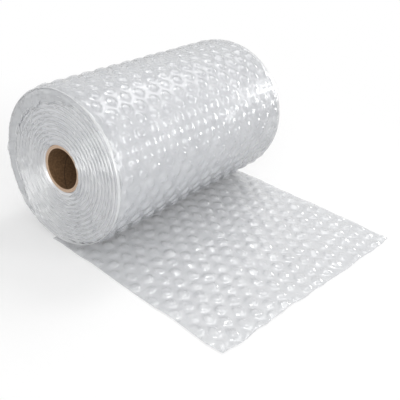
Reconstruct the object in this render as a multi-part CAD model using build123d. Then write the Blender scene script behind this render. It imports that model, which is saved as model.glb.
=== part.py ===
"""A roll of bubble wrap lying on its side, with the free end of the film pulled out over the floor.

Millimetres, +Z up.  X runs along the roll's axis, -Y is the way the free end points, and the origin is on the
floor, in the middle of the roll's resting spot.  Two pieces are made: the cardboard core tube, and the film,
whose turns and free end are one web and so one solid.
"""
from build123d import *
import os
from math import cos, radians, sin, sqrt, tan

# Core tube
CORE_BORE = 46.0            # inside diameter, taken by a dispenser's spindle
CORE_WALL = 4.0
CORE_RECESS = 5.0           # each end of the tube lies this far inside the film's edge
CORE_LIP = 0.6              # worn round on the tube's cut edges

# Bubble film
WEB_WIDTH = 305.0
ROLL_RADIUS = 93.0          # of the outermost turn, where it meets the floor
TURN_THICKNESS = 5.0        # what one wound turn adds to the radius
FREE_THICKNESS = 5.6        # film with its bubbles standing up, unwound
WRAP_GAP = 0.3              # between the first turn and the core
REST_SAG = 1.6              # the soft roll's lowest point is pressed flat by this much
RIM_RADIAL = 9.0            # the turned-in edge of the outer turns, across the radius
RIM_AXIAL = 13.0            # and along the axis

# Free end
TAIL_LENGTH = 257.0         # from the resting spot to the cut edge, along its middle
TAIL_DRIFT = 22.0           # how far the cut edge has wandered towards -X
TAIL_CUT_ANGLE = 5.0        # the cut edge against the roll's axis, in degrees

CUT_MARGIN = 1.0            # how far an envelope stands clear of what it doesn't trim

CORE_LENGTH = WEB_WIDTH - 2 * CORE_RECESS
CORE_OUTER_RADIUS = CORE_BORE / 2 + CORE_WALL
WRAP_RADIUS = CORE_OUTER_RADIUS + WRAP_GAP
AXIS_HEIGHT = ROLL_RADIUS - REST_SAG
HALF_WIDTH = WEB_WIDTH / 2


def core_tube():
    """A straight wound tube with slightly rounded cut edges."""
    tube = Cylinder(CORE_OUTER_RADIUS, CORE_LENGTH) - Cylinder(CORE_BORE / 2, CORE_LENGTH)
    tube = fillet(tube.edges().filter_by(GeomType.CIRCLE), CORE_LIP)
    return Pos(0, 0, AXIS_HEIGHT) * Rot(0, 90, 0) * tube


def spiral_section():
    """The outline of the wound turns, drawn in the YZ plane about the roll's axis.

    One turn of a four-centred spiral: quarter arcs, each a quarter of a turn's thickness smaller than the one
    before it, from the resting spot up the back, over the top and down the front to where the free end leaves.
    """
    step = TURN_THICKNESS / 4
    centre = Vector(0, 0, 0)
    radius = ROLL_RADIUS
    start = Vector(0, -radius, 0)
    arcs = []
    for angle in (0, 90, 180, 270):
        middle = radians(angle + 45)
        finish = radians(angle + 90)
        via = centre + Vector(sin(middle), -cos(middle), 0) * radius
        end = centre + Vector(sin(finish), -cos(finish), 0) * radius
        arcs.append(Edge.make_three_point_arc(start, via, end))
        centre += Vector(sin(finish), -cos(finish), 0) * step
        radius -= step
        start = end
    ledge = Edge.make_line(start, Vector(0, -ROLL_RADIUS, 0))
    return Face(Wire(arcs + [ledge]))


def barrel():
    """The envelope of the turns, with both rims turned in."""
    outer = ROLL_RADIUS + CUT_MARGIN
    with BuildSketch(Plane.XY) as half:
        with BuildLine():
            Polyline((-HALF_WIDTH, 0), (HALF_WIDTH, 0), (HALF_WIDTH, ROLL_RADIUS - RIM_RADIAL))
            EllipticalCenterArc(
                (HALF_WIDTH - RIM_AXIAL, ROLL_RADIUS - RIM_RADIAL), RIM_AXIAL, RIM_RADIAL, 0
            )
            Polyline(
                (HALF_WIDTH - RIM_AXIAL, ROLL_RADIUS),
                (HALF_WIDTH - RIM_AXIAL, outer),
                (RIM_AXIAL - HALF_WIDTH, outer),
                (RIM_AXIAL - HALF_WIDTH, ROLL_RADIUS),
            )
            EllipticalCenterArc(
                (RIM_AXIAL - HALF_WIDTH, ROLL_RADIUS - RIM_RADIAL), RIM_AXIAL, RIM_RADIAL, 90
            )
            Line((-HALF_WIDTH, ROLL_RADIUS - RIM_RADIAL), (-HALF_WIDTH, 0))
        make_face()
    return revolve(half.sketch, Axis.X)


def free_end():
    """The flat stretch of film in front of the roll: its sides drift, and its cut edge is a little askew."""
    slant = HALF_WIDTH * tan(radians(TAIL_CUT_ANGLE))
    outline = Polyline(
        (-HALF_WIDTH, 0),
        (-HALF_WIDTH - TAIL_DRIFT, slant - TAIL_LENGTH),
        (HALF_WIDTH - TAIL_DRIFT, -slant - TAIL_LENGTH),
        (HALF_WIDTH, 0),
        close=True,
    )
    return extrude(make_face(outline), FREE_THICKNESS)


def bubble_film():
    """The wound turns and the free end, with the core's place left open."""
    section = Plane.YZ * spiral_section()
    turns = extrude(section, WEB_WIDTH / 2, both=True)
    turns &= barrel()
    turns -= Rot(0, 90, 0) * Cylinder(WRAP_RADIUS, 2 * WEB_WIDTH)
    turns = Pos(0, 0, AXIS_HEIGHT) * turns
    below_floor = Pos(0, 0, -ROLL_RADIUS) * Box(2 * WEB_WIDTH, 2 * ROLL_RADIUS, 2 * ROLL_RADIUS)
    return turns - below_floor + free_end()


os.makedirs("parts", exist_ok=True)
PIECES = {"core_tube": core_tube(), "bubble_film": bubble_film()}
for node, shape in PIECES.items():
    shape.label = node
    export_step(shape, f"parts/{node}.step")
    size = shape.bounding_box().size
    print(node, round(shape.volume), [round(v, 2) for v in (size.X, size.Y, size.Z)], len(shape.solids()))
print("resting spot is", round(2 * sqrt(ROLL_RADIUS**2 - AXIS_HEIGHT**2), 1), "wide")
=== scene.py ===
"""A roll of bubble wrap on its cardboard tube, with the free end of the film pulled out over the floor.

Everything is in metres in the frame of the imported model: X along the roll's axis, -Y the way the free end is
pulled, Z up from the floor.  The film is drawn first as a flat web, with u across it and s along it, and is
then wound onto the roll or laid on the floor.
"""
import random
from functools import lru_cache
from math import atan2, ceil, cos, hypot, pi, radians, sin, sqrt, tan, tau

import bmesh
import bpy
from mathutils import Matrix, Vector, noise


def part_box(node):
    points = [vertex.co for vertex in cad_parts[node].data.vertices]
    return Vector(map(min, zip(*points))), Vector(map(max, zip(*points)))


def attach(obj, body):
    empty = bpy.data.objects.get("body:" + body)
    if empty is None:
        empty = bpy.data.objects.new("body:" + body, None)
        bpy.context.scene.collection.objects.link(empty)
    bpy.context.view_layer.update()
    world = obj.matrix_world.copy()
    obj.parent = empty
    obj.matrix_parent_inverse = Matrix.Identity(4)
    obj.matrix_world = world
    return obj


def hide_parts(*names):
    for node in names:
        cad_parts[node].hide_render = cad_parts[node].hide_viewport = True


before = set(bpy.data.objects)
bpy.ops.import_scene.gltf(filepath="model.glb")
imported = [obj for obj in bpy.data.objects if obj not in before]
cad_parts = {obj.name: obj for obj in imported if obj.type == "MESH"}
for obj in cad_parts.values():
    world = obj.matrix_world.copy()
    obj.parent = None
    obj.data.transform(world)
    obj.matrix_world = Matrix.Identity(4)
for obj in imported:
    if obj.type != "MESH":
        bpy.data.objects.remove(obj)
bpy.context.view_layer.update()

FILM_LOW, FILM_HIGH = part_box("bubble_film")
TUBE_LOW, TUBE_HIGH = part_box("core_tube")

# Roll
HALF_WIDTH = FILM_HIGH.x
ROLL_RADIUS = FILM_HIGH.y
AXIS_HEIGHT = (TUBE_LOW.z + TUBE_HIGH.z) / 2
TUBE_RADIUS = (TUBE_HIGH.z - TUBE_LOW.z) / 2
TURN = 0.0050               # what one turn adds to the radius
FLOOR_GAP = 0.0002
RIM_AXIAL = 0.013           # the outer turns' edges are turned in over this much of the width
RIM_RADIAL = 0.009          # and this much of the radius
RIM_REACH = 0.005           # how far the turned-in edge runs on towards the tube

# Turned-in edges of the outermost turn
COVER_STARTS = (0.15, 1.2)  # angles, from the underside backwards, over which they come to cover the ends
COVER_STOPS = (2.6, 4.2)    # and over which they leave them again
HELD_FRONT = 0.42           # share of an edge's spare width that is turned in at the front
HELD_BACK = 1.25            # and at the back
NOISE_RADIUS = 3            # of the circle on which the share varies
NOISE_ALONG = 9             # and how fast it does so across the web
HOLD_SWAY = (0.12, 0.7)     # how much the share varies, and over what size
HOLD_WOBBLE = (0.13, 0.16)  # the same, finer
RIM_ZONE = (HALF_WIDTH - 1.5 * RIM_AXIAL, HALF_WIDTH - 0.2 * RIM_AXIAL)    # where their crumple sets in
NEAR_RIM = (0.55, 0.0015)   # how much lower the bubbles are there, and how high the crumple is
FAR_RIM = (0.25, 0.0003)
CRUMPLE_SIZE = 0.008
THINNED = 0.9               # share of its thickness that the film loses at its very edge
THINNED_OVER = 0.006
DIPPED = 0.0014             # how far its very edge is pressed back into the roll's end
DIPPED_OVER = 0.008
ROLL_DENTS = (0.00025, 0.009)                      # height and size of the unevenness of the whole turn

# Body of the turns underneath
BODY_STEPS = 96
BODY_RINGS = 12
BODY_TUBE_GAP = 0.0004
BODY_FILM_GAP = 0.0002

# Film's edges on the roll's ends
EDGE_DEPTH = 0.0035         # how far the wound body lies back behind them
EDGE_REACH = 1.6 * EDGE_DEPTH
EDGE_THICKNESS = 0.0006
SPIRAL_OUTSIDE = ROLL_RADIUS - 0.0022
SPIRAL_INSIDE = TUBE_RADIUS + 0.0018
SPIRAL_LEEWAY = 0.0006      # how far inside the last turn the wavy bubbles may reach
SPIRAL_LAYERS = (("flat", 0.0022), ("bubbles", 0.0013))                    # with the length of their steps
SPIRAL_WANDER = (0.0004, 0.04)                     # how far a turn strays in radius, and over what length
EDGE_WAVES = (0.0007, 0.03)                        # and along the axis
FACE_GROWTH = 0.0005        # how much further out the end face is read, to stay clear of the rim
FACE_SET_BACK = 0.0006      # between the end face and the flat layer, and between that and the bubbles
TUCKED_BACK = 0.0005        # how far more the edges lie back where the outermost turn covers them
TUCKED_ZONE = (ROLL_RADIUS - 0.022, ROLL_RADIUS - 0.015)                   # radii over which that sets in
LAYER_CLEARANCE = 0.0009    # between the bubbles and the flat film on either side of them
BUBBLE_FILL = (0.15, 0.75)  # least and greatest share of the room between two turns that a bubble fills

# Free end
CUT_SLANT = HALF_WIDTH * tan(radians(5))
TAIL_LENGTH = -FILM_LOW.y - CUT_SLANT
TAIL_DRIFT = -FILM_LOW.x - HALF_WIDTH
TAIL_TUCK = 0.012           # how far its back end runs in under the roll
TAIL_SWELL = (0.0010, 0.07)                        # height and size of its broad waves
TAIL_LEVEL = 0.6            # the share of that height about which they swing
TAIL_DENTS = (0.0002, 0.008)
TAIL_CREASES = ((0.0006, 0.0045), (0.0006, 0.011))
CUT_BUBBLES = 0.3           # share of their height that bubbles keep where its edges run through them
FRAY = (0.0018, 0.018)      # how far its edges stray, and over what length
SLACK = (0.0022, 0.03)      # the same for the whole film, in the plane of the floor
SLACK_FROM = 0.03           # how far from the roll the slack is full

# Bubbles
PITCH = 0.0210              # between bubbles across the web
ROW = 0.0146                # between rows along it; every second row is shifted by half a pitch
BUBBLE_RADIUS = 0.0067
CELL_START = 1.2 * BUBBLE_RADIUS                   # radius of the circle that a cell starts as
SIDE_STEPS = (3, 3, 2, 3, 3, 2)                    # steps on each side of a cell's outline
CELL_SIDES = sum(SIDE_STEPS)
RING_SHARES = (1.0, 0.88, 0.65, 0.35)              # radii of a bubble's rings, as shares of its own
DOME = (0.0, 0.0013, 0.0024, 0.0029, 0.0030)       # height of the dome at those rings and at its middle
PILLOW = (0.0, 0.0005, 0.0011, 0.0014, 0.0015)     # the same for its flat side, blown out by its air
LOOSE_DOME = (0.0, 0.0007, 0.0014, 0.0018, 0.0019)    # the dome on the free end, where it is slack
LEAN = 0.5                  # share by which one side of a bubble may stand higher, and the other lower
FULLNESS = 0.6              # power of an even draw that says how full a bubble is; below 1, most are full
LEAST_FULL = 0.7            # how full the emptiest bubble is on the roll
LOOSE_LEAST_FULL = 0.35     # and on the free end
SHEET = 0.0004              # the two films between the bubbles
MERGE_GAP = PITCH / 1000    # vertices of neighbouring cells that are this near are one
CUT_GAP = PITCH / 2000      # a cut takes vertices that are this near as lying on it

# Tube
TUBE_WALL = 0.004
SEAM_PITCH = 0.095          # what one turn of the seam in the bore moves on along the axis
CUT_END_DEPTHS = (0.0006, 0.0003)                  # where the colour of the cut ends starts, and is full

# Stage
FLOOR_SIZE = 6
LAMP_TARGET = Vector((0, -0.05, AXIS_HEIGHT))
LAMPS = (
    # name, direction, distance, width, height, power, shows in the gloss, gives light
    ("key", (0.60, 0.10, 0.79), 1.4, 0.9, 0.6, 2.9, False, True),
    ("band", (0.62, 0.02, 0.79), 1.4, 0.6, 0.5, 1.5, True, True),
    ("right", (1.0, -0.05, 0.12), 1.4, 0.22, 0.42, 2.4, True, False),
    ("right_low", (1.0, -0.38, 0.04), 1.4, 0.25, 0.20, 1.7, True, False),
    ("front", (0.25, -0.80, 0.50), 1.4, 0.3, 0.9, 3.2, True, True),
    ("top", (0.35, 0.15, 0.93), 1.4, 0.26, 0.26, 1.8, True, True),
    ("left", (-1.0, -0.35, 0.40), 1.5, 0.8, 0.8, 5.0, True, True),
    ("low", (-0.45, -1.0, 0.22), 1.5, 1.2, 0.5, 4.5, True, True),
)


def tidy_object(name, bm, material):
    """A smooth-shaded object at the origin made from a bmesh."""
    bmesh.ops.recalc_face_normals(bm, faces=bm.faces)
    mesh = bpy.data.meshes.new(name)
    bm.to_mesh(mesh)
    bm.free()
    mesh.shade_smooth()
    mesh.materials.append(material)
    piece = bpy.data.objects.new(name, mesh)
    bpy.context.scene.collection.objects.link(piece)
    return piece


def mix(low, high, share):
    return low + (high - low) * share


def smooth_step(low, high, value):
    share = min(max((value - low) / (high - low), 0), 1)
    return share * share * (3 - 2 * share)


# ------------------------------------------------------------------------------------------ flat web

def cell_outline():
    """The six-sided patch of film round one bubble, its sides cut into steps that the neighbours share."""
    near = (ROW**2 - (PITCH / 2) ** 2) / (2 * ROW)
    far = ROW - near
    half = PITCH / 2
    corners = [(half, near), (0, far), (-half, near), (-half, -near), (0, -far), (half, -near)]
    points = []
    for start, end, steps in zip(corners, corners[1:] + corners[:1], SIDE_STEPS):
        points += [Vector(start).lerp(Vector(end), k / steps) for k in range(steps)]
    return points[-1:] + points[:-1]


def flat_cell():
    """One bubble's patch of film: rings of vertices from its six-sided outline in to the bubble's middle."""
    bm = bmesh.new()
    bmesh.ops.create_circle(bm, cap_ends=True, segments=CELL_SIDES, radius=CELL_START)
    rim = list(bm.verts)
    size = CELL_START
    for share in RING_SHARES:
        cap = max(bm.faces, key=lambda face: len(face.verts))
        made = bmesh.ops.extrude_face_region(bm, geom=[cap])["geom"]
        ring = [v for v in made if isinstance(v, bmesh.types.BMVert)]
        bmesh.ops.delete(bm, geom=[cap], context="FACES")
        bmesh.ops.scale(bm, verts=ring, vec=(share * BUBBLE_RADIUS / size,) * 2 + (1,))
        size = share * BUBBLE_RADIUS
    cap = max(bm.faces, key=lambda face: len(face.verts))
    bmesh.ops.poke(bm, faces=[cap])
    outline = cell_outline()
    for vert in rim:
        step = round(atan2(vert.co.y, vert.co.x) / tau * CELL_SIDES)
        vert.co.xy = outline[step % CELL_SIDES]
    cell = bpy.data.meshes.new("cell")
    bm.to_mesh(cell)
    bm.free()
    return cell


def flat_web(half_width, start, end, slant=0.0):
    """A flat sheet of cells between two edges and two cuts; the second cut may be askew."""
    cell = flat_cell()
    bm = bmesh.new()
    for row in range(int(start // ROW) - 1, ceil((end + abs(slant)) / ROW) + 2):
        shift = PITCH / 2 * (row % 2)
        columns = ceil(half_width / PITCH) + 1
        for column in range(-columns, columns + 1):
            count = len(bm.verts)
            bm.from_mesh(cell)
            bm.verts.ensure_lookup_table()
            place = Vector((column * PITCH + shift, row * ROW, 0))
            bmesh.ops.translate(bm, verts=bm.verts[count:], vec=place)
    bpy.data.meshes.remove(cell)
    bmesh.ops.remove_doubles(bm, verts=bm.verts, dist=MERGE_GAP)
    cuts = [
        ((-half_width, 0, 0), (-1, 0, 0)),
        ((half_width, 0, 0), (1, 0, 0)),
        ((0, start, 0), (0, -1, 0)),
        ((0, end, 0), (-slant / HALF_WIDTH, 1, 0)),
    ]
    for place, outwards in cuts:
        bmesh.ops.bisect_plane(
            bm, geom=bm.verts[:] + bm.edges[:] + bm.faces[:], dist=CUT_GAP,
            plane_co=place, plane_no=outwards, clear_outer=True,
        )
    return bm


def bubble_at(u, s):
    """The column and row of the bubble nearest to a point, and how far off its middle is, both ways."""
    best = None
    for row in (int(s // ROW), int(s // ROW) + 1):
        shift = PITCH / 2 * (row % 2)
        column = round((u - shift) / PITCH)
        across, along = u - column * PITCH - shift, s - row * ROW
        if best is None or hypot(across, along) < hypot(*best[2:]):
            best = (column, row, across, along)
    return best


@lru_cache(maxsize=None)
def character(column, row):
    """How full of air a bubble is, from 0 to 1, and which way it leans; a few have gone flat."""
    draw = random.Random(f"{column} {row}")
    return draw.random() ** FULLNESS, draw.uniform(-1, 1), draw.uniform(-1, 1)


def relief(profile, u, s, least):
    """Height of one side of the web, by its bubbles' profile; no bubble is less full than least."""
    column, row, across, along = bubble_at(u, s)
    off = hypot(across, along)
    rings = [share * BUBBLE_RADIUS for share in RING_SHARES] + [0]
    height = 0.0
    for wide, low, narrow, high in zip(rings, profile, rings[1:], profile[1:]):
        if narrow <= off < wide:
            height = mix(low, high, (wide - off) / (wide - narrow))
    air, lean_across, lean_along = character(column, row)
    lean = LEAN * (lean_across * across + lean_along * along) / BUBBLE_RADIUS
    return height * mix(least, 1.0, air) * (1 + lean)


def thicken(bm):
    """Gives a flat sheet its second side and the walls between them. Returns the new side's vertices."""
    made = bmesh.ops.extrude_face_region(bm, geom=bm.faces[:], use_keep_orig=True)["geom"]
    return [v for v in made if isinstance(v, bmesh.types.BMVert)]


# ------------------------------------------------------------------------------------------ film

def ripple(x, y, z, size):
    """Smooth noise between about -1 and 1 that changes over the given size.

    Where x and y are a place on the flat web, z only tells one pattern from another.
    """
    return noise.noise(Vector((x, y, z)) / size)


def waves(kind, x, y, z):
    """The same noise at its true height. kind is that height and the size."""
    height, size = kind
    return height * ripple(x, y, z, size)


RIM_ARC = pi / 2 * sqrt((RIM_AXIAL**2 + RIM_RADIAL**2) / 2)


def rim_path(u, held):
    """Where the web lies across the roll: its place along the axis, the drop in radius and the way it faces.

    Past the straight part it turns in over the roll's end; held is the share of its width that does so.
    """
    side = 1 if u > 0 else -1
    straight = HALF_WIDTH - RIM_AXIAL
    past = (abs(u) - straight) * held
    if past <= 0:
        return u, 0.0, 0.0, 1.0
    if past < RIM_ARC:
        turn = past / RIM_ARC * pi / 2
        slope = Vector((sin(turn) / RIM_AXIAL, cos(turn) / RIM_RADIAL)).normalized()
        x = side * (straight + RIM_AXIAL * sin(turn))
        return x, RIM_RADIAL * (1 - cos(turn)), side * slope.x, slope.y
    return side * HALF_WIDTH, RIM_RADIAL + past - RIM_ARC, side * 1.0, 0.0


def rim_face(out):
    """How far from the roll's middle its end face lies at a radius: the face is rounded off near the rim."""
    turn = min(max((out - ROLL_RADIUS + RIM_RADIAL) / RIM_RADIAL, 0), 1)
    return HALF_WIDTH - RIM_AXIAL * (1 - sqrt(1 - turn**2))


def covered(angle):
    """How far the loose outermost edge lies over the end, from 0 at the front to 1 at the back."""
    return smooth_step(*COVER_STARTS, angle) * (1 - smooth_step(*COVER_STOPS, angle))


def hold(angle, u):
    """How much of the outer turn's spare width is turned in over the end of the roll."""
    around = (NOISE_RADIUS * cos(angle), NOISE_RADIUS * sin(angle), NOISE_ALONG * u)
    share = mix(HELD_FRONT, HELD_BACK, covered(angle))
    return share + waves(HOLD_SWAY, *around) + waves(HOLD_WOBBLE, *around)


def outer_turn(material):
    """The outermost turn: flat side out, bubbles inwards, both edges turned in over the roll's ends."""
    half = HALF_WIDTH - RIM_AXIAL + RIM_ARC + RIM_REACH
    around = tau * ROLL_RADIUS
    bm = flat_web(half, 0.0, around)
    inside = set(thicken(bm))
    for vert in bm.verts:
        u, s, _ = vert.co
        angle = s / around * tau
        edge = smooth_step(*RIM_ZONE, abs(u))
        flattening, crumple = NEAR_RIM if u < 0 else FAR_RIM
        flattened = 1 - flattening * edge
        rise = waves(ROLL_DENTS, u, s, 0) + edge * crumple * ripple(u, s / 2, 2, CRUMPLE_SIZE)
        if vert in inside:
            thinned = 1 - THINNED * smooth_step(half - THINNED_OVER, half, abs(u))
            rise -= (SHEET + relief(DOME, u, s, LEAST_FULL) * flattened) * thinned
        else:
            rise += relief(PILLOW, u, s, LEAST_FULL) * flattened
        x, drop, slope_x, slope_r = rim_path(u, hold(angle, u))
        out = ROLL_RADIUS - TURN * angle / tau - drop + rise * slope_r
        x *= 1 - DIPPED / HALF_WIDTH * smooth_step(half - DIPPED_OVER, half, abs(u))
        height = AXIS_HEIGHT - out * cos(angle)
        vert.co = (x + rise * slope_x, out * sin(angle), max(height, FLOOR_GAP))
    return tidy_object("outer_turn", bm, material)


def free_end(material):
    """The stretch of film on the floor, flat side down and bubbles up, with its cut edge askew."""
    bm = flat_web(HALF_WIDTH, -TAIL_TUCK, TAIL_LENGTH, CUT_SLANT)
    upper = set(thicken(bm))
    roof = ROLL_RADIUS - TURN
    for vert in bm.verts:
        u, s, _ = vert.co
        edge = min(HALF_WIDTH - abs(u), TAIL_LENGTH + u * CUT_SLANT / HALF_WIDTH - s)
        uncut = smooth_step(0, BUBBLE_RADIUS, edge)
        swell, swell_size = TAIL_SWELL
        height = FLOOR_GAP + swell * (TAIL_LEVEL + ripple(u, s, 3, swell_size)) + waves(TAIL_DENTS, u, s, 5)
        if vert in upper:
            crumple = waves(TAIL_CREASES[0], u, s, 7) + waves(TAIL_CREASES[1], u, s, 9)
            bubble = relief(LOOSE_DOME, u, s, LOOSE_LEAST_FULL) * mix(CUT_BUBBLES, 1.0, uncut)
            height += SHEET + crumple + bubble
        height = max(height, FLOOR_GAP + (SHEET if vert in upper else 0))
        if s < roof:
            height = min(height, AXIS_HEIGHT - sqrt(roof**2 - max(s, 0) ** 2) - FLOOR_GAP)
        fray = waves(FRAY, u, s, 11) * (1 - smooth_step(0, 2 * BUBBLE_RADIUS, edge))
        play, play_size = SLACK
        slack = play * smooth_step(0, SLACK_FROM, s)
        pulled = TAIL_DRIFT * max(s, 0) / TAIL_LENGTH - slack * ripple(u, s, 13, play_size)
        vert.co = (u - pulled, -s - fray - slack * ripple(u, s, 17, play_size), height)
    return tidy_object("free_end", bm, material)


def inner_turns(material):
    """The turns under the outermost one, as one milky body that ends a little behind the film's edges."""
    inside = TUBE_RADIUS + BODY_TUBE_GAP
    outside = ROLL_RADIUS - TURN - SHEET - DOME[-1] - BODY_FILM_GAP
    bm = bmesh.new()
    profile = []
    for k in range(BODY_RINGS + 1):
        out = mix(inside, outside, 1 - (1 - k / BODY_RINGS) ** 2)
        profile.append((-rim_face(out + SHEET + DOME[-1]) + EDGE_DEPTH, out))
    profile += [(-x, r) for x, r in reversed(profile)]
    verts = [bm.verts.new((x, 0, -r)) for x, r in profile]
    edges = [bm.edges.new(pair) for pair in zip(verts, verts[1:] + verts[:1])]
    bmesh.ops.spin(
        bm, geom=verts + edges, cent=(0, 0, 0), axis=(1, 0, 0), angle=tau, steps=BODY_STEPS, use_merge=True
    )
    for vert in bm.verts:
        angle = atan2(vert.co.y, -vert.co.z) % tau
        out = hypot(vert.co.y, vert.co.z)
        grown = out + TURN * (1 - angle / tau) * smooth_step(inside, outside, out)
        vert.co.yz = (grown * sin(angle), AXIS_HEIGHT - grown * cos(angle))
    return tidy_object("inner_turns", bm, material)


def turn_edges(name, side, material):
    """The film's edges on one end of the roll: a spiral of flat film and, under it, wavy bubbles."""
    length = pi * (SPIRAL_OUTSIDE**2 - SPIRAL_INSIDE**2) / TURN
    made = bmesh.new()
    for layer, step in SPIRAL_LAYERS:
        bm = bmesh.new()
        bmesh.ops.create_grid(bm, x_segments=int(length / step), y_segments=1, size=0.5)
        for vert in bm.verts:
            along, inwards = vert.co.x + 0.5, vert.co.y + 0.5
            # equal steps of length along a spiral are equal steps of the square of its radius
            out = sqrt(mix(SPIRAL_OUTSIDE**2, SPIRAL_INSIDE**2, along))
            angle = (SPIRAL_OUTSIDE - out) / TURN * tau
            s = along * length
            out += waves(SPIRAL_WANDER, s, 0, side)
            face = rim_face(out + FACE_GROWTH) - FACE_SET_BACK + waves(EDGE_WAVES, s, 0, side * 5)
            face -= TUCKED_BACK * covered(angle % tau) * smooth_step(*TUCKED_ZONE, out)
            if layer == "bubbles":
                draw = random.Random(f"{side} {int(s // ROW)}")
                height = mix(*BUBBLE_FILL, draw.random()) * sin(pi * s / ROW) ** 2
                out -= LAYER_CLEARANCE + (TURN - 2 * LAYER_CLEARANCE) * height
                face -= FACE_SET_BACK
            out = max(out, SPIRAL_INSIDE - SPIRAL_LEEWAY)
            x = side * (face - EDGE_REACH * inwards)
            vert.co = (x, out * sin(angle), AXIS_HEIGHT - out * cos(angle))
        mesh = bpy.data.meshes.new(layer)
        bm.to_mesh(mesh)
        bm.free()
        made.from_mesh(mesh)
        bpy.data.meshes.remove(mesh)
    piece = tidy_object(name, made, material)
    solid = piece.modifiers.new("film", "SOLIDIFY")
    solid.thickness = EDGE_THICKNESS
    solid.offset = 0
    return piece


# ------------------------------------------------------------------------------------------ materials

def new_material(name):
    material = bpy.data.materials.new(name)
    material.use_nodes = True
    nodes, links = material.node_tree.nodes, material.node_tree.links
    shader = nodes["Principled BSDF"]
    place = nodes.new("ShaderNodeTexCoord").outputs["Object"]
    return material, nodes, links, shader, place


def set_ramp(ramp, stops):
    """Gives a Color Ramp node its stops, as (place, grey or colour)."""
    while len(ramp.elements) < len(stops):
        ramp.elements.new(0.5)
    for element, (place, colour) in zip(ramp.elements, stops):
        element.position = place
        colour = (colour,) * 3 if isinstance(colour, float) else colour
        element.color = (*colour, 1)


def film_material(name, alpha, tint_low, tint_high, roughness):
    """Polyethylene film: a faint cool tint that varies, fine creases and a gloss over it all."""
    material, nodes, links, shader, place = new_material(name)
    shader.inputs["Roughness"].default_value = roughness
    shader.inputs["Alpha"].default_value = alpha
    shader.inputs["IOR"].default_value = 2.0
    shader.inputs["Coat Weight"].default_value = 1.0
    shader.inputs["Coat IOR"].default_value = 2.0
    shader.inputs["Coat Roughness"].default_value = 0.06
    clouds = nodes.new("ShaderNodeTexNoise")
    clouds.inputs["Scale"].default_value = 60
    clouds.inputs["Detail"].default_value = 4
    links.new(place, clouds.inputs["Vector"])
    tint = nodes.new("ShaderNodeValToRGB")
    set_ramp(tint.color_ramp, [(0.35, tint_low), (0.65, tint_high)])
    links.new(clouds.outputs["Fac"], tint.inputs["Fac"])
    links.new(tint.outputs["Color"], shader.inputs["Base Color"])
    creases = nodes.new("ShaderNodeTexNoise")
    creases.inputs["Scale"].default_value = 260
    creases.inputs["Detail"].default_value = 5
    creases.inputs["Distortion"].default_value = 0.8
    links.new(place, creases.inputs["Vector"])
    bump = nodes.new("ShaderNodeBump")
    bump.inputs["Strength"].default_value = 0.35
    bump.inputs["Distance"].default_value = 0.0006
    links.new(creases.outputs["Fac"], bump.inputs["Height"])
    links.new(bump.outputs["Normal"], shader.inputs["Normal"])
    return material


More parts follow.
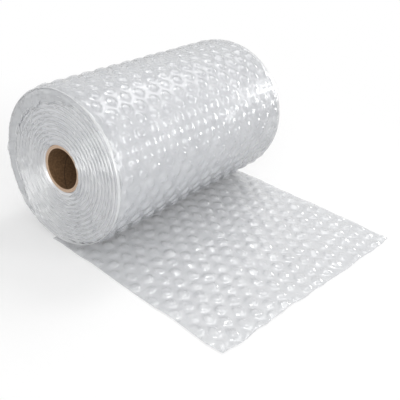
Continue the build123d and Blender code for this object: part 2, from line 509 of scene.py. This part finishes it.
def cardboard_material():
    """Kraft cardboard: pale wound plies on the cut ends, a dark bore with a spiral seam, and fibres."""
    material, nodes, links, shader, place = new_material("kraft_cardboard")
    shader.inputs["Roughness"].default_value = 0.85

    def math(operation, *values):
        node = nodes.new("ShaderNodeMath")
        node.operation = operation
        for socket, value in zip(node.inputs, values):
            if isinstance(value, float):
                socket.default_value = value
            else:
                links.new(value, socket)
        return node.outputs["Value"]

    def stretch(value, low, high):
        node = nodes.new("ShaderNodeMapRange")
        node.inputs["From Min"].default_value = low
        node.inputs["From Max"].default_value = high
        links.new(value, node.inputs["Value"])
        return node.outputs["Result"]

    def ramp(value, stops):
        node = nodes.new("ShaderNodeValToRGB")
        set_ramp(node.color_ramp, stops)
        links.new(value, node.inputs["Fac"])
        return node.outputs["Color"]

    def blend(share, first, second, kind="MIX"):
        node = nodes.new("ShaderNodeMix")
        node.data_type = "RGBA"
        node.blend_type = kind
        for name, value in (("Factor_Float", share), ("A_Color", first), ("B_Color", second)):
            socket = next(s for s in node.inputs if s.identifier == name)
            if isinstance(value, float):
                socket.default_value = value
            else:
                links.new(value, socket)
        return next(s for s in node.outputs if s.identifier == "Result_Color")

    centred = nodes.new("ShaderNodeMapping")
    centred.inputs["Location"].default_value = (0, 0, -AXIS_HEIGHT)
    links.new(place, centred.inputs["Vector"])
    split = nodes.new("ShaderNodeSeparateXYZ")
    links.new(centred.outputs["Vector"], split.inputs["Vector"])
    x, y, z = (split.outputs[axis] for axis in "XYZ")
    fibres = nodes.new("ShaderNodeTexNoise")
    fibres.inputs["Scale"].default_value = 420
    fibres.inputs["Detail"].default_value = 6
    links.new(place, fibres.inputs["Vector"])

    out = math("SQRT", math("ADD", math("MULTIPLY", y, y), math("MULTIPLY", z, z)))
    plies = ramp(stretch(out, TUBE_RADIUS - TUBE_WALL, TUBE_RADIUS), [
        (0.0, (0.42, 0.27, 0.17)), (0.15, (0.66, 0.49, 0.36)), (0.40, (0.62, 0.45, 0.32)),
        (0.48, (0.36, 0.23, 0.14)), (0.56, (0.68, 0.51, 0.38)), (1.0, (0.60, 0.42, 0.30)),
    ])
    turned = math("DIVIDE", math("ARCTAN2", y, z), tau)
    spiral = math("FRACT", math("ADD", turned, math("DIVIDE", x, SEAM_PITCH)))
    seam = ramp(spiral, [(0.0, 0.55), (0.012, 0.55), (0.02, 1.0), (1.0, 1.0)])
    bore = ramp(fibres.outputs["Fac"], [(0.3, (0.150, 0.080, 0.034)), (0.7, (0.235, 0.132, 0.060))])
    bore = blend(1.0, bore, seam, "MULTIPLY")
    cut_end = stretch(math("ABSOLUTE", x), *(TUBE_HIGH.x - depth for depth in CUT_END_DEPTHS))
    colour = blend(cut_end, bore, plies)
    mottle = ramp(fibres.outputs["Fac"], [(0.3, 0.84), (0.7, 1.0)])
    links.new(blend(1.0, colour, mottle, "MULTIPLY"), shader.inputs["Base Color"])
    bump = nodes.new("ShaderNodeBump")
    bump.inputs["Strength"].default_value = 0.3
    bump.inputs["Distance"].default_value = 0.0003
    links.new(fibres.outputs["Fac"], bump.inputs["Height"])
    links.new(bump.outputs["Normal"], shader.inputs["Normal"])
    return material


# ------------------------------------------------------------------------------------------ stage

def add_camera():
    """A camera in front of the tube's open end, looking down along the roll and over the free end."""
    place = Vector((-0.56151, -0.4832, 0.40481))
    yaw, pitch, lean = radians(-52.52), radians(27.28), radians(4.01)
    ahead = Vector((-sin(yaw) * cos(pitch), cos(yaw) * cos(pitch), -sin(pitch)))
    level = Vector((cos(yaw), sin(yaw), 0))
    upright = level.cross(ahead)
    right = level * cos(lean) + upright * sin(lean)
    up = upright * cos(lean) - level * sin(lean)
    data = bpy.data.cameras.new("camera")
    data.lens = 58.6
    data.shift_x = 0.04
    data.shift_y = -0.04
    data.clip_start = 0.01
    camera = bpy.data.objects.new("camera", data)
    camera.matrix_world = Matrix.Translation(place) @ Matrix((right, up, -ahead)).transposed().to_4x4()
    bpy.context.scene.collection.objects.link(camera)
    bpy.context.scene.camera = camera


def add_softbox(name, direction, distance, width, height, power, gleam, light):
    """A flat soft lamp that shines at the roll; it can be kept out of the gloss, or out of all else."""
    data = bpy.data.lights.new(name, "AREA")
    data.shape = "RECTANGLE"
    data.size = width
    data.size_y = height
    data.energy = power
    lamp = bpy.data.objects.new(name, data)
    lamp.visible_glossy = gleam
    lamp.visible_diffuse = light
    outwards = Vector(direction).normalized()
    turned = outwards.to_track_quat("Z", "Y").to_matrix().to_4x4()
    lamp.matrix_world = Matrix.Translation(LAMP_TARGET + outwards * distance) @ turned
    bpy.context.scene.collection.objects.link(lamp)


def add_world():
    """White to the camera and in reflections, and a plain soft light for everything else."""
    world = bpy.data.worlds.new("world")
    world.use_nodes = True
    nodes, links = world.node_tree.nodes, world.node_tree.links
    background = nodes["Background"]
    path = nodes.new("ShaderNodeLightPath")
    seen = nodes.new("ShaderNodeMath")
    seen.operation = "ADD"
    seen.use_clamp = True
    links.new(path.outputs["Is Camera Ray"], seen.inputs[0])
    links.new(path.outputs["Is Glossy Ray"], seen.inputs[1])
    strength = nodes.new("ShaderNodeMapRange")
    strength.inputs["To Min"].default_value = 0.58
    strength.inputs["To Max"].default_value = 1.0
    links.new(seen.outputs["Value"], strength.inputs["Value"])
    links.new(strength.outputs["Result"], background.inputs["Strength"])
    background.inputs["Color"].default_value = (1, 1, 1, 1)
    bpy.context.scene.world = world


def add_floor():
    """A wide pale floor that fades to white away from the roll."""
    bm = bmesh.new()
    bmesh.ops.create_grid(bm, x_segments=1, y_segments=1, size=FLOOR_SIZE)
    material, nodes, links, shader, place = new_material("floor")
    shader.inputs["Roughness"].default_value = 0.9
    shader.inputs["Specular IOR Level"].default_value = 0.0
    path = nodes.new("ShaderNodeLightPath")
    colour = nodes.new("ShaderNodeMapRange")
    colour.inputs["To Min"].default_value = 0.78
    colour.inputs["To Max"].default_value = 1.0
    links.new(path.outputs["Is Camera Ray"], colour.inputs["Value"])
    links.new(colour.outputs["Result"], shader.inputs["Base Color"])
    away = nodes.new("ShaderNodeVectorMath")
    away.operation = "LENGTH"
    links.new(place, away.inputs[0])
    fade = nodes.new("ShaderNodeMapRange")
    fade.interpolation_type = "SMOOTHSTEP"
    fade.inputs["From Min"].default_value = 0.20
    fade.inputs["From Max"].default_value = 0.55
    fade.inputs["To Min"].default_value = 0.4
    links.new(away.outputs["Value"], fade.inputs["Value"])
    seen = nodes.new("ShaderNodeMath")
    seen.operation = "MULTIPLY"
    links.new(fade.outputs["Result"], seen.inputs[0])
    links.new(path.outputs["Is Camera Ray"], seen.inputs[1])
    white = nodes.new("ShaderNodeEmission")
    blend = nodes.new("ShaderNodeMixShader")
    links.new(seen.outputs["Value"], blend.inputs["Fac"])
    links.new(shader.outputs["BSDF"], blend.inputs[1])
    links.new(white.outputs["Emission"], blend.inputs[2])
    links.new(blend.outputs["Shader"], nodes["Material Output"].inputs["Surface"])
    floor = tidy_object("floor", bm, material)


def build():
    clear = film_material(
        "clear_film", alpha=0.48, roughness=0.12,
        tint_low=(0.70, 0.715, 0.74), tint_high=(0.79, 0.805, 0.825),
    )
    milky = film_material(
        "milky_film", alpha=1.0, roughness=0.3,
        tint_low=(0.66, 0.67, 0.70), tint_high=(0.74, 0.75, 0.775),
    )
    edges = film_material(
        "film_edges", alpha=0.7, roughness=0.2,
        tint_low=(0.82, 0.83, 0.85), tint_high=(0.92, 0.93, 0.94),
    )
    pieces = [
        outer_turn(clear),
        inner_turns(milky),
        turn_edges("turn_edges_near", -1, edges),
        turn_edges("turn_edges_far", 1, edges),
        free_end(clear),
    ]
    for piece in pieces:
        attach(piece, "root")
        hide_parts("bubble_film")
    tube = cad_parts["core_tube"]
    tube.data.materials.clear()
    tube.data.materials.append(cardboard_material())


build()
add_floor()
add_world()
for lamp_values in LAMPS:
    add_softbox(*lamp_values)
add_camera()
bpy.context.scene.view_settings.view_transform = "Standard"
